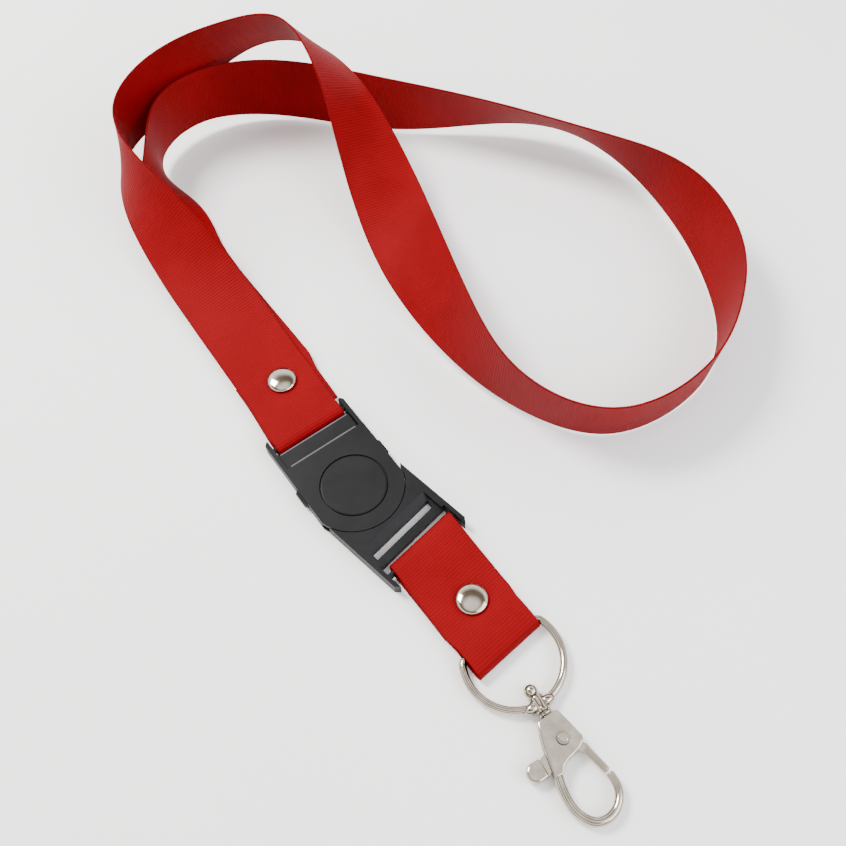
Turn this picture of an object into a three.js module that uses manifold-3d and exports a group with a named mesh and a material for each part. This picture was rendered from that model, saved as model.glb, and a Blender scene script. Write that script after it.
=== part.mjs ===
// Neck lanyard: a ribbon loop, a two-part swivelling buckle, a short doubled strap, a D-ring and a
// trigger snap hook, laid out on a flat surface.
//
// Millimetres, +Z up. The origin is the middle of the buckle's round badge, on the underside (z = 0).
import * as THREE from 'three';
import { mergeVertices } from 'three/addons/utils/BufferGeometryUtils.js';
import Module from 'manifold-3d';

const wasm = await Module();
wasm.setup();

// ---------------------------------------------------------------- driving dimensions
const STRAP_WIDTH = 25;
const STRAP_THICKNESS = 0.65;
const FIT = 0.3; // gap between pieces that move against each other
const SEAM = 0.1; // gap between flat faces that lie against each other

const BUCKLE_HEIGHT = 4.4;
const FLOOR = 1.0; // thickness of the housing's floor
const LID_UNDERSIDE = 3.15;
const HOUSING_HALF_WIDTH = 14.85;
const HOUSING_END_RADIUS = 15.7; // round end, concentric with the badge
const HOUSING_STEP = 17; // where the lid ends and the strap recess begins
const HOUSING_RAIL_END = 29.2;
const HOUSING_BAR = 26;
const HOUSING_HEADING = 122.8; // degrees, from the badge to the neck strap
const BADGE_POCKET_RADIUS = 10.7;
const BADGE_RADIUS = 10.25;
const BADGE_FLOOR = 3.75;

const MALE_HEADING = -46.8; // degrees, from the badge to the short strap
const MALE_HALF_WIDTH = 15.2;
const MALE_SHOULDER_RADIUS = HOUSING_END_RADIUS + FIT;
const MALE_BAR = 28.7;
const MALE_RAIL_END = 33.8;
const MALE_RAIL_INNER = 13.85;
const TONGUE_RADIUS = 9.2;
const TONGUE_HALF_WIDTH = 9.1;
const TONGUE_BOTTOM = FLOOR + FIT;
const TONGUE_TOP = LID_UNDERSIDE - 0.25;
const CORE_RADIUS = 5.2;
const CORE_HALF_WIDTH = 4;

const BAR_RADIUS = 0.95; // round strap bars of both buckle halves
const BAR_HEIGHT = 2.3;
const EYE_RADIUS = 1.825; // strap's middle line round a bar
const RAIL_INNER = 13.4;

const RIVET_RADIUS = 4.75;
const RIVET_BACK_RADIUS = 4.4;
const RIVET_POST_RADIUS = 1.3;
const RIVET_HOLE_RADIUS = 1.6;
const RIVET_BACK_THICKNESS = 0.5;

const WIRE_RADIUS = 1.15;
const WIRE_HEIGHT = 2.25; // the D-ring's and the hook's middle plane
const RING_RADIUS = 14.25;
const RING_BAR_OFFSET = 6.8; // from the middle of the round side back to the straight bar
const RING_CENTRE = new THREE.Vector2(43.5, -57.1);
const RING_HEADING = -63;
const RING_CORNER_RADIUS = 2;

const HOOK_HEADING = -61.4;
const HOOK_ORIGIN = new THREE.Vector2(49.53, -70.04); // middle of the swivel barrel
const CHEEK_BOTTOM = 0.3;
const CHEEK_TOP = 4.5;
const SLOT_BOTTOM = 1.5;
const SLOT_TOP = 3.3;
const PIN = new THREE.Vector2(11, -0.2);
const PIN_RADIUS = 0.85;

// The neck ribbon from the rivet round the loop and back, as stations chosen by hand: x and y of its middle,
// the lift of its lower edge off the surface, and its roll in degrees. Roll turns the ribbon about its own
// direction, from lying flat with its face up at 0, to standing on an edge at 90.
const LOOP_STATIONS = [
  [-28, 46, 2.3, 0], [-46, 75, 2.4, 12], [-63, 99, 6, 42], [-75, 117, 10, 67], [-78, 137, 14, 86],
  [-63, 157, 18, 91], [-38, 167, 27, 66], [-15, 165, 31, 56], [0, 147, 27, 42], [9, 127, 18, 20],
  [17, 103, 10, -8], [25, 75, 6, -38], [38, 44, 4, -72], [55, 22, 2, -96], [82, 12, 0, -102],
  [110, 25, 0, -97], [124, 47, 0, -96], [127, 72, 0, -106], [119, 99, 1, -98], [100, 121, 4, -66],
  [76, 137, 7, -51], [48, 147, 4, -66], [15, 156, 1, -90], [-20, 167, 1, -96], [-50, 164, 4, -87],
  [-67, 150, 4, -85], [-69, 132, 1, -98], [-63, 113, 0.4, -156], [-56, 95, 0.6, -176], [-42, 72, 1, -180],
  [-25, 46, 1.4, -180],
];
const REST_CLEARANCE = 0.5; // of the middle of a ribbon that lies flat with no lift

// A station's middle: half the ribbon's width, turned by the roll, above its lower edge.
const LOOP_ROUTE = LOOP_STATIONS.map(([x, y, lift, roll]) => [
  x, y, lift + (STRAP_WIDTH / 2) * Math.abs(Math.sin((roll * Math.PI) / 180)) + REST_CLEARANCE, roll,
]);

// ---------------------------------------------------------------- small tools
const degrees = (angle) => THREE.MathUtils.degToRad(angle);

function range(from, to, count) {
  return Array.from({ length: count }, (_, i) => from + ((to - from) * i) / (count - 1));
}

function solidOf(geometry) {
  geometry.deleteAttribute('normal');
  geometry.deleteAttribute('uv');
  const merged = mergeVertices(geometry, 1e-5);
  const vertProperties = new Float32Array(merged.attributes.position.array);
  const triVerts = new Uint32Array(merged.index.array);
  return new wasm.Manifold(new wasm.Mesh({ numProp: 3, vertProperties, triVerts }));
}

function geometryOf(solid) {
  const mesh = solid.getMesh();
  const geometry = new THREE.BufferGeometry();
  geometry.setAttribute('position', new THREE.BufferAttribute(mesh.vertProperties, 3));
  geometry.setIndex(new THREE.BufferAttribute(mesh.triVerts, 1));
  return geometry;
}

function shapeOf(points) {
  return new THREE.Shape(points.map(([x, y]) => new THREE.Vector2(x, y)));
}

function arc(cx, cy, radius, from, to, count) {
  return range(degrees(from), degrees(to), count).map((a) => [
    cx + radius * Math.cos(a), cy + radius * Math.sin(a),
  ]);
}

// A flat outline, extruded straight up from one height to another.
function slab(points, bottom, top) {
  const geometry = new THREE.ExtrudeGeometry(shapeOf(points), { depth: top - bottom, bevelEnabled: false });
  geometry.translate(0, 0, bottom);
  return solidOf(geometry);
}

function block(x0, x1, y0, y1, z0, z1) {
  return slab([[x0, y0], [x1, y0], [x1, y1], [x0, y1]], z0, z1);
}

function post(x, y, radius, bottom, top, sides = 24) {
  return slab(arc(x, y, radius, 0, 360 - 360 / sides, sides), bottom, top);
}

// A round bar along Y.
function barAlongY(x, z, radius, halfLength, sides = 20) {
  const geometry = new THREE.CylinderGeometry(radius, radius, 2 * halfLength, sides);
  geometry.translate(x, 0, z);
  return solidOf(geometry);
}

// A round bar along X.
function barAlongX(radius, from, to, z, sides = 20, y = 0) {
  const geometry = new THREE.CylinderGeometry(radius, radius, to - from, sides);
  geometry.rotateZ(Math.PI / 2);
  geometry.translate((from + to) / 2, y, z);
  return solidOf(geometry);
}

function lathe(profile, sides = 32) {
  const geometry = new THREE.LatheGeometry(profile.map(([r, z]) => new THREE.Vector2(r, z)), sides);
  geometry.rotateX(Math.PI / 2);
  return solidOf(geometry);
}

function joined(first, ...others) {
  return others.reduce((whole, piece) => whole.add(piece), first);
}

function cut(first, ...others) {
  return others.reduce((rest, piece) => rest.subtract(piece), first);
}

// The same outline on the left (1) or on the right (-1) of the X axis.
function onSide(side, points) {
  return points.map(([x, y]) => [x, side * y]);
}

const FINISHES = {
  ribbon: { color: 0xb01e22, roughness: 0.7, metalness: 0 },
  plastic: { color: 0x383a3e, roughness: 0.5, metalness: 0 },
  pad: { color: 0x1c1c1e, roughness: 0.6, metalness: 0 },
  nickel: { color: 0xc9c4b8, roughness: 0.2, metalness: 1 },
  steel: { color: 0x9a9a98, roughness: 0.35, metalness: 1 },
};

const lanyard = new THREE.Group();

function frameAt(heading, x = 0, y = 0) {
  const group = new THREE.Group();
  group.position.set(x, y, 0);
  group.rotation.z = degrees(heading);
  lanyard.add(group);
  return group;
}

function place(parent, name, solid, finish) {
  const mesh = new THREE.Mesh(geometryOf(solid), new THREE.MeshStandardMaterial(FINISHES[finish]));
  mesh.name = name;
  parent.add(mesh);
}

// ---------------------------------------------------------------- ribbon sweep
// Natural cubic spline through rows of numbers, one unit of parameter from row to row.
function splineThrough(rows) {
  const last = rows.length - 1;
  const second = rows.map((row) => row.map(() => 0));
  rows[0].forEach((_, k) => {
    const upper = [0];
    const value = [0];
    for (let i = 1; i < last; i++) {
      const pivot = 4 - upper[i - 1];
      upper[i] = 1 / pivot;
      value[i] = (6 * (rows[i + 1][k] - 2 * rows[i][k] + rows[i - 1][k]) - value[i - 1]) / pivot;
    }
    for (let i = last - 1; i > 0; i--) second[i][k] = value[i] - upper[i] * second[i + 1][k];
  });
  return (t) => {
    const i = Math.min(Math.floor(t), last - 1);
    const b = t - i;
    const a = 1 - b;
    const bend = (f) => (f * f * f - f) / 6;
    return rows[i].map((value, k) => (
      a * value + b * rows[i + 1][k] + bend(a) * second[i][k] + bend(b) * second[i + 1][k]
    ));
  };
}

// One row across the ribbon: its middle, the direction across it and the direction of its face.
function rowAcross(middle, across, face) {
  return { middle, across, face };
}

function rowOnRoute(curve, t, steps) {
  const at = (u) => new THREE.Vector3(...curve(u).slice(0, 3));
  const small = 1 / steps;
  const ahead = at(Math.min(t + small, LOOP_ROUTE.length - 1)).sub(at(Math.max(t - small, 0))).normalize();
  const level = new THREE.Vector3(ahead.y, -ahead.x, 0).normalize();
  const roll = degrees(curve(t)[3]);
  const upright = new THREE.Vector3().crossVectors(level, ahead);
  const across = level.clone().multiplyScalar(Math.cos(roll)).addScaledVector(upright, Math.sin(roll));
  const face = new THREE.Vector3().crossVectors(across, ahead);
  return rowAcross(at(t), across, face);
}

const UNDERSIDE = 2; // the side of a strip that faces away from its face

// Closes four corners per row into one solid strip of the given half widths. The two wide sides are
// divided along the same diagonals, so that a twisted stretch keeps its thickness.
function stripThrough(rows, thickness) {
  const positions = [];
  const index = [];
  rows.forEach(({ middle, across, face, left, right }) => {
    [[right, 1], [left, 1], [left, -1], [right, -1]].forEach(([reach, side]) => {
      const corner = middle.clone().addScaledVector(across, reach);
      corner.addScaledVector(face, (side * thickness) / 2);
      positions.push(corner.x, corner.y, corner.z);
    });
  });
  for (let i = 0; i + 1 < rows.length; i++) {
    for (let k = 0; k < 4; k++) {
      const a = 4 * i + k;
      const b = 4 * i + ((k + 1) % 4);
      if (k === UNDERSIDE) index.push(a, a + 4, b, a + 4, b + 4, b);
      else index.push(a, b + 4, b, a, a + 4, b + 4);
    }
  }
  const end = 4 * (rows.length - 1);
  index.push(0, 1, 2, 0, 2, 3, end, end + 2, end + 1, end, end + 3, end + 2);
  const geometry = new THREE.BufferGeometry();
  geometry.setAttribute('position', new THREE.BufferAttribute(new Float32Array(positions), 3));
  geometry.setIndex(index);
  return solidOf(geometry);
}

// Rows of a strap that lies along a heading and wraps a bar. The side profile holds the distance along,
// the height, the face's turn from straight up and the sideways shift.
function rowsOfProfile(profile, origin, heading, acrossHeading) {
  const along = new THREE.Vector3(Math.cos(degrees(heading)), Math.sin(degrees(heading)), 0);
  return profile.map(([x, z, turn, shift = 0]) => {
    const rowHeading = degrees(acrossHeading(x));
    const across = new THREE.Vector3(Math.cos(rowHeading), Math.sin(rowHeading), 0);
    const middle = new THREE.Vector3(origin.x, origin.y, z).addScaledVector(along, x);
    middle.addScaledVector(across, shift);
    const square = new THREE.Vector3(-across.y, across.x, 0);
    const face = new THREE.Vector3(0, 0, Math.cos(degrees(turn)));
    face.addScaledVector(square, -Math.sin(degrees(turn)));
    return rowAcross(middle, across, face);
  });
}

// ---------------------------------------------------------------- buckle, upper half
const housing = frameAt(HOUSING_HEADING);
const roundStart = -Math.sqrt(HOUSING_END_RADIUS ** 2 - HOUSING_HALF_WIDTH ** 2);
const roundAngle = THREE.MathUtils.radToDeg(Math.atan2(HOUSING_HALF_WIDTH, roundStart));

function housingOutline(end) {
  return [
    ...arc(0, 0, HOUSING_END_RADIUS, roundAngle, 360 - roundAngle, 33),
    [end, -HOUSING_HALF_WIDTH],
    [end, HOUSING_HALF_WIDTH],
  ];
}

const LEVER_PIVOT = [0.6, 12.5];
const LEVER_POST_RADIUS = 0.65;
const WINDOW = [2.9, 10.1]; // where a side pad stands out of the housing's wall
const WALL_INNER = 14.05;
const SHELF_HEIGHT = 2.0;
const WALL_TOP = LID_UNDERSIDE - SEAM;

function housingBase() {
  const edges = [[roundStart + 0.5, WINDOW[0]], [WINDOW[1], HOUSING_STEP]];
  const walls = [-1, 1].flatMap((side) => edges.map(([from, to]) => (
    block(from, to, ...[side * WALL_INNER, side * HOUSING_HALF_WIDTH].sort((a, b) => a - b), 0.5, WALL_TOP)
  )));
  const rails = [-1, 1].map((side) => (
    slab([
      [HOUSING_STEP + SEAM, side * RAIL_INNER], [HOUSING_STEP + SEAM, side * HOUSING_HALF_WIDTH],
      [HOUSING_RAIL_END - 1, side * HOUSING_HALF_WIDTH],
      [HOUSING_RAIL_END, side * (HOUSING_HALF_WIDTH - 0.8)],
      [HOUSING_RAIL_END, side * RAIL_INNER],
    ], 0, 4.1)
  ));
  const back = block(15.4, HOUSING_STEP, -WALL_INNER - 0.2, WALL_INNER + 0.2, 0.5, WALL_TOP);
  const shelf = block(HOUSING_STEP - 0.5, 22.8, -RAIL_INNER - 0.2, RAIL_INNER + 0.2, 0, SHELF_HEIGHT);
  const bar = barAlongY(HOUSING_BAR, BAR_HEIGHT, BAR_RADIUS, RAIL_INNER + 0.4);
  const posts = [-1, 1].map((side) => (
    post(LEVER_PIVOT[0], side * LEVER_PIVOT[1], LEVER_POST_RADIUS, 0.5, TONGUE_TOP, 16)
  ));
  const anchors = [-1, 1].map((side) => block(13.2, 14.8, side * 10.2 - 0.8, side * 10.2 + 0.8, 0.5, 2.9));
  const body = joined(
    slab(housingOutline(HOUSING_STEP), 0, FLOOR), ...walls, ...rails, back, shelf, bar, ...posts, ...anchors,
  );
  return cut(body, post(0, 0, 2.8, 0.5, FLOOR + 1));
}

function housingTop() {
  const lid = slab(housingOutline(HOUSING_STEP), LID_UNDERSIDE, BUCKLE_HEIGHT);
  return cut(lid, post(0, 0, BADGE_POCKET_RADIUS, BADGE_FLOOR, BUCKLE_HEIGHT + 1, 48));
}

function badgeDisc() {
  const base = BADGE_FLOOR + SEAM;
  return lathe([
    [0, base], [BADGE_RADIUS, base], [BADGE_RADIUS, BUCKLE_HEIGHT - 0.1],
    [BADGE_RADIUS - 0.4, BUCKLE_HEIGHT + 0.05], [0, BUCKLE_HEIGHT + 0.05],
  ], 48);
}

// A rocker: its pad shows in the side window, its jaw lies beside the tongue's round shoulder.
function releaseLever(side) {
  const plan = [
    [-6, 10.9], [-3, 10.9], [-1.6, 11.5], [9.6, 11.5], [9.6, 15], [9, 15.75], [4, 15.75],
    [3.2, 15], [3.2, 13.5], [-3, 13.5], [-6, 12.9],
  ];
  const arm = slab(onSide(side, plan), TONGUE_BOTTOM, TONGUE_TOP);
  const [x, y] = LEVER_PIVOT;
  return cut(arm, post(x, side * y, LEVER_POST_RADIUS + FIT, 0, BUCKLE_HEIGHT, 20));
}

// A flat spring between an anchor block and the inner side of the lever's pad.
function leverSpring(side) {
  const plan = [
    [13.1, 9.5], [13.1, 10.9], [12.8, 10.9], [12.8, 10.35],
    [7.4, 10.65], [7.4, 10.35], [12.6, 10.05], [12.6, 9.5],
  ];
  return slab(onSide(side, plan), 1.4, 2.8);
}

place(housing, 'housing_base', housingBase(), 'plastic');
place(housing, 'housing_top', housingTop(), 'plastic');
place(housing, 'badge_disc', badgeDisc(), 'plastic');
place(housing, 'left_release_lever', releaseLever(1), 'pad');
place(housing, 'right_release_lever', releaseLever(-1), 'pad');
place(housing, 'left_lever_spring', leverSpring(1), 'steel');
place(housing, 'right_lever_spring', leverSpring(-1), 'steel');

// ---------------------------------------------------------------- buckle, lower half
const male = frameAt(MALE_HEADING);

function pivotCore() {
  const puck = post(0, 0, CORE_RADIUS, TONGUE_BOTTOM, TONGUE_TOP, 40);
  const flats = block(-9, 9, -CORE_HALF_WIDTH, CORE_HALF_WIDTH, 0, 5);
  return joined(puck.intersect(flats), post(0, 0, 2.5, 0.75, TONGUE_BOTTOM + 0.1));
}

function tongue() {
  const round = post(0, 0, TONGUE_RADIUS, TONGUE_BOTTOM, TONGUE_TOP, 60);
  const neck = block(0, 17.5, -TONGUE_HALF_WIDTH, TONGUE_HALF_WIDTH, TONGUE_BOTTOM, TONGUE_TOP);
  const clearance = CORE_HALF_WIDTH + FIT;
  return cut(joined(round, neck), block(-12, CORE_RADIUS + FIT, -clearance, clearance, 0, 5));
}

const SLOT = { from: 19.6, to: 22.3, half: 12.1 };
const MIDDLE_BAR_END = 25;
const RECESS_HALF_WIDTH = 12.9;

function maleBuckle() {
  const horn = Math.sqrt(MALE_SHOULDER_RADIUS ** 2 - MALE_HALF_WIDTH ** 2);
  const hornAngle = THREE.MathUtils.radToDeg(Math.atan2(MALE_HALF_WIDTH, horn));
  const outline = [
    ...arc(0, 0, MALE_SHOULDER_RADIUS, hornAngle, -hornAngle, 33),
    [MALE_RAIL_END - 1.4, -MALE_HALF_WIDTH], [MALE_RAIL_END, -MALE_HALF_WIDTH + 1.2],
    [MALE_RAIL_END, MALE_HALF_WIDTH - 1.2], [MALE_RAIL_END - 1.4, MALE_HALF_WIDTH],
  ];
  const through = block(SLOT.from, SLOT.to, -SLOT.half, SLOT.half, -1, 6);
  const opening = block(MIDDLE_BAR_END, MALE_RAIL_END + 1, -MALE_RAIL_INNER, MALE_RAIL_INNER, -1, 6);
  const ramp = new THREE.ExtrudeGeometry(
    shapeOf([[17.2, 4.7], [17.2, 4.35], [SLOT.from, 2.6], [27, 2.4], [27, 4.7]]),
    { depth: 2 * RECESS_HALF_WIDTH, bevelEnabled: false },
  );
  ramp.rotateX(Math.PI / 2);
  ramp.translate(0, RECESS_HALF_WIDTH, 0);
  const frame = cut(slab(outline, 0, BUCKLE_HEIGHT), through, opening, solidOf(ramp));
  return joined(frame, barAlongY(MALE_BAR, BAR_HEIGHT, BAR_RADIUS, MALE_RAIL_INNER + 0.4), tongue());
}

place(male, 'pivot_core', pivotCore(), 'plastic');
place(male, 'male_buckle', maleBuckle(), 'plastic');

// ---------------------------------------------------------------- straps and rivets
const UPPER_RIVET = new THREE.Vector3(-23.05, 40.71, 0);
const LOWER_RIVET = new THREE.Vector3(33.39, -39.07, 0);
const LAYER_STEP = STRAP_THICKNESS + 0.2;
const FIRST_LAYER = RIVET_BACK_THICKNESS + 0.25 + STRAP_THICKNESS / 2;
const LOW_LAYER = 0.15 + STRAP_THICKNESS / 2;

// The middle of the strap's i-th layer from the bottom, where it is riveted.
const layer = (i) => FIRST_LAYER + i * LAYER_STEP;

// The half turn of an eye, from the low layer round the bar's far side to the top layer.
function eyeProfile(bar, count) {
  return range(180, 0, count).map((turn) => [
    bar - EYE_RADIUS * Math.sin(degrees(turn)), BAR_HEIGHT + EYE_RADIUS * Math.cos(degrees(turn)), turn,
  ]);
}

function neckStrap() {
  const rowHeading = () => HOUSING_HEADING - 90;
  const tail = [
    [54, layer(0), 180, 1.3], [44, layer(0), 180, 1], [35, LOW_LAYER + 0.1, 180, 0.3], [30, LOW_LAYER, 180],
  ];
  const risen = [[30, 3.95, 0], [34, 3.45, 0, 0.3], [38, 3, 0, 0.7], [43, layer(2), 0, 1.15]];
  const tuckedEnd = [[46, layer(1), 180, 2.7], [38, layer(1), 180, 2.2], [31, layer(1), 180, 1.8]];
  const origin = { x: 0, y: 0 };
  const eyeAndTail = [...tail, ...eyeProfile(HOUSING_BAR, 9), ...risen];
  const start = rowsOfProfile(eyeAndTail, origin, HOUSING_HEADING, rowHeading);
  const finish = rowsOfProfile(tuckedEnd, origin, HOUSING_HEADING, rowHeading);
  const curve = splineThrough(LOOP_ROUTE);
  const steps = 4;
  const last = LOOP_ROUTE.length - 1;
  const loop = range(0, last, last * steps + 1).map((t) => rowOnRoute(curve, t, steps));
  const rows = [...start, ...loop, ...finish];
  rows.forEach((row) => Object.assign(row, { left: -STRAP_WIDTH / 2, right: STRAP_WIDTH / 2 }));
  const hole = post(UPPER_RIVET.x, UPPER_RIVET.y, RIVET_HOLE_RADIUS, -1, 8, 16);
  return cut(stripThrough(rows, STRAP_THICKNESS), hole);
}

const SHORT_HEADING = -56.5;
const SHORT_ORIGIN = new THREE.Vector2(20.16, -20.44);
const FOLD_CENTRE = 39.475; // along the strap, of the fold round the D-ring's bar
const FOLD_RADIUS = 1.8;

// The strap is skewed: its rows turn a little from the buckle's bar towards the D-ring's.
function shortRowHeading(x) {
  return THREE.MathUtils.mapLinear(THREE.MathUtils.clamp(x, 3, 22), 3, 22, 41.8, 38.5) - 180;
}

function shortStrap() {
  const fold = range(0, -180, 9).map((turn) => [
    FOLD_CENTRE - FOLD_RADIUS * Math.sin(degrees(turn)), 2.275 + FOLD_RADIUS * Math.cos(degrees(turn)), turn,
  ]);
  const profile = [
    [26.3, layer(0), 180], [15, layer(0), 180], [8, LOW_LAYER + 0.15, 180], [4, LOW_LAYER, 180],
    ...eyeProfile(0, 9),
    [4, 3.95, 0], [9, 3.45, 0], [14, 2.95, 0], [18, layer(2), 0], [27, layer(2) + 0.05, 0], [30, 3.45, 0],
    [32.6, 4.02, 0],
    ...fold,
    [33, LOW_LAYER, -180], [30.5, 1, -180], [27.7, layer(1), -180], [16.5, layer(1), -180],
  ];
  const rows = rowsOfProfile(profile, SHORT_ORIGIN, SHORT_HEADING, shortRowHeading);
  rows.forEach((row, i) => {
    const x = profile[i][0];
    const half = THREE.MathUtils.mapLinear(THREE.MathUtils.clamp(x, 27, 31), 27, 31, STRAP_WIDTH / 2, 11.8);
    Object.assign(row, { left: -half, right: half });
  });
  const hole = post(LOWER_RIVET.x, LOWER_RIVET.y, RIVET_HOLE_RADIUS, -1, 8, 16);
  return cut(stripThrough(rows, STRAP_THICKNESS), hole);
}

const CAP_BASE = FIRST_LAYER + 2.5 * LAYER_STEP + 0.15;
const CAP_HEIGHT = 1.55;

function rivetCap() {
  const dome = range(0, 90, 8).map((a) => [
    RIVET_RADIUS * Math.cos(degrees(a)), CAP_BASE + 0.35 + (CAP_HEIGHT - 0.35) * Math.sin(degrees(a)),
  ]);
  dome[dome.length - 1][0] = 0;
  const cap = lathe([[0, CAP_BASE], [RIVET_RADIUS - 0.3, CAP_BASE], ...dome], 32);
  return cut(cap, post(0, 0, RIVET_HOLE_RADIUS, CAP_BASE - 1, CAP_BASE + 0.85, 16));
}

function rivetPost() {
  return lathe([
    [0, 0], [RIVET_BACK_RADIUS - 0.3, 0], [RIVET_BACK_RADIUS, 0.2], [RIVET_BACK_RADIUS, RIVET_BACK_THICKNESS],
    [RIVET_POST_RADIUS, RIVET_BACK_THICKNESS], [RIVET_POST_RADIUS, CAP_BASE + 0.6], [0, CAP_BASE + 0.6],
  ], 24);
}

for (const [name, at] of [['upper', UPPER_RIVET], ['lower', LOWER_RIVET]]) {
  const seat = frameAt(0, at.x, at.y);
  place(seat, `${name}_rivet_cap`, rivetCap(), 'nickel');
  place(seat, `${name}_rivet_post`, rivetPost(), 'nickel');
}
place(lanyard, 'neck_strap', neckStrap(), 'ribbon');
place(lanyard, 'short_strap', shortStrap(), 'ribbon');

// ---------------------------------------------------------------- D-ring
// A tube along a flat path in the plane of the ring, with an oval section that may change on the way.
function flatTube(path, halfWidth, halfHeight, closed, sides = 12) {
  const positions = [];
  const index = [];
  const count = path.length;
  path.forEach(([x, y], i) => {
    const before = path[closed ? (i + count - 1) % count : Math.max(i - 1, 0)];
    const after = path[closed ? (i + 1) % count : Math.min(i + 1, count - 1)];
    const length = Math.hypot(after[0] - before[0], after[1] - before[1]);
    const normal = [(before[1] - after[1]) / length, (after[0] - before[0]) / length];
    for (let k = 0; k < sides; k++) {
      const a = (2 * Math.PI * k) / sides;
      const out = halfWidth(i / (count - 1)) * Math.cos(a);
      const up = halfHeight(i / (count - 1)) * Math.sin(a);
      positions.push(x + out * normal[0], y + out * normal[1], WIRE_HEIGHT + up);
    }
  });
  const rings = closed ? count : count - 1;
  for (let i = 0; i < rings; i++) {
    for (let k = 0; k < sides; k++) {
      const a = i * sides + k;
      const b = i * sides + ((k + 1) % sides);
      const c = ((i + 1) % count) * sides + ((k + 1) % sides);
      const d = ((i + 1) % count) * sides + k;
      index.push(a, b, c, a, c, d);
    }
  }
  if (!closed) {
    const end = (count - 1) * sides;
    for (let k = 1; k + 1 < sides; k++) index.push(0, k + 1, k, end, end + k, end + k + 1);
  }
  const geometry = new THREE.BufferGeometry();
  geometry.setAttribute('position', new THREE.BufferAttribute(new Float32Array(positions), 3));
  geometry.setIndex(index);
  return solidOf(geometry);
}

const BARREL_LENGTH = 4.5;
const BARREL_RADIUS = 2.15;
const BARREL_SHIFT = -0.5; // along the wire, from the middle of the round side
const STEM_RADIUS = 1.05;

function dRing() {
  const cornerX = RING_CORNER_RADIUS - RING_BAR_OFFSET;
  const cornerY = Math.sqrt((RING_RADIUS - RING_CORNER_RADIUS) ** 2 - cornerX ** 2);
  const meet = THREE.MathUtils.radToDeg(Math.atan2(cornerY, cornerX));
  const path = [
    ...arc(0, 0, RING_RADIUS, -meet, meet, 45),
    ...arc(cornerX, cornerY, RING_CORNER_RADIUS, meet, 180, 6).slice(1),
    ...arc(cornerX, -cornerY, RING_CORNER_RADIUS, 180, 360 - meet, 6).slice(0, -1),
  ];
  const wire = flatTube(path, () => WIRE_RADIUS, () => WIRE_RADIUS, true);
  const ears = new THREE.SphereGeometry(1, 24, 14);
  ears.scale(1.8, 4.9, 1.95);
  ears.translate(RING_RADIUS, BARREL_SHIFT, WIRE_HEIGHT);
  const from = RING_RADIUS - BARREL_LENGTH / 2;
  const to = from + BARREL_LENGTH;
  const barrel = barAlongX(BARREL_RADIUS, from, to, WIRE_HEIGHT, 24, BARREL_SHIFT);
  const hole = barAlongX(STEM_RADIUS + FIT + 0.05, from - 2, to + 2, WIRE_HEIGHT, 20, BARREL_SHIFT);
  return cut(joined(wire, solidOf(ears), barrel), hole);
}

place(frameAt(RING_HEADING, RING_CENTRE.x, RING_CENTRE.y), 'd_ring', dRing(), 'nickel');

// ---------------------------------------------------------------- swivel hook
const hook = frameAt(HOOK_HEADING, HOOK_ORIGIN.x, HOOK_ORIGIN.y);

function swivelStem() {
  const knob = new THREE.SphereGeometry(2, 24, 14);
  knob.translate(-4.3, 0, WIRE_HEIGHT);
  return joined(
    barAlongX(STEM_RADIUS, -4, 6.3, WIRE_HEIGHT), solidOf(knob), barAlongX(2.1, 2.7, 3.4, WIRE_HEIGHT, 24),
  );
}

function hookHead() {
  const outline = [
    [3.8, -3.7], [6.3, -4.7], [10.1, -6.1], [16.4, -7.7], [18.6, -8.1], [18.6, -5.4], [17.2, -4.2],
    [16.2, -2], [15.9, 0.2], [15.4, 2.2], [14.4, 3.9], [13.3, 4.6], [9, 3.9], [4.3, 3], [3.8, 2.2],
  ];
  const pivotBoss = post(PIN.x, PIN.y, 2.1, CHEEK_TOP - 0.3, CHEEK_TOP + 0.25);
  const head = joined(slab(outline, CHEEK_BOTTOM, CHEEK_TOP), pivotBoss);
  const slot = block(6.8, 17.3, -12, 8, SLOT_BOTTOM, SLOT_TOP);
  const pinHole = post(PIN.x, PIN.y, PIN_RADIUS + 0.25, 0, 6);
  const stemHole = barAlongX(STEM_RADIUS + 0.2, 3, 7.5, WIRE_HEIGHT);
  return cut(head, slot, pinHole, stemHole);
}

function hookBody() {
  const middle = new THREE.SplineCurve([
    [17.4, -6.6], [20.5, -7.5], [24.5, -8.15], [28.5, -7.8], [32, -5.8], [33.4, -3], [33.2, 0.2], [31.4, 3.2],
    [28.4, 5], [24.8, 5.25],
  ].map(([x, y]) => new THREE.Vector2(x, y)));
  const path = middle.getPoints(36).map((point) => [point.x, point.y]);
  const bow = flatTube(path, (t) => 1.2 - 0.2 * t, (t) => 1.9 - 0.6 * Math.min(1, 3 * t), false);
  return joined(hookHead(), bow);
}

const LEVER_BOTTOM = SLOT_BOTTOM + 0.25;
const LEVER_TOP = SLOT_TOP - 0.25;
const HUB_TOP = LEVER_BOTTOM + 0.5;

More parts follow.
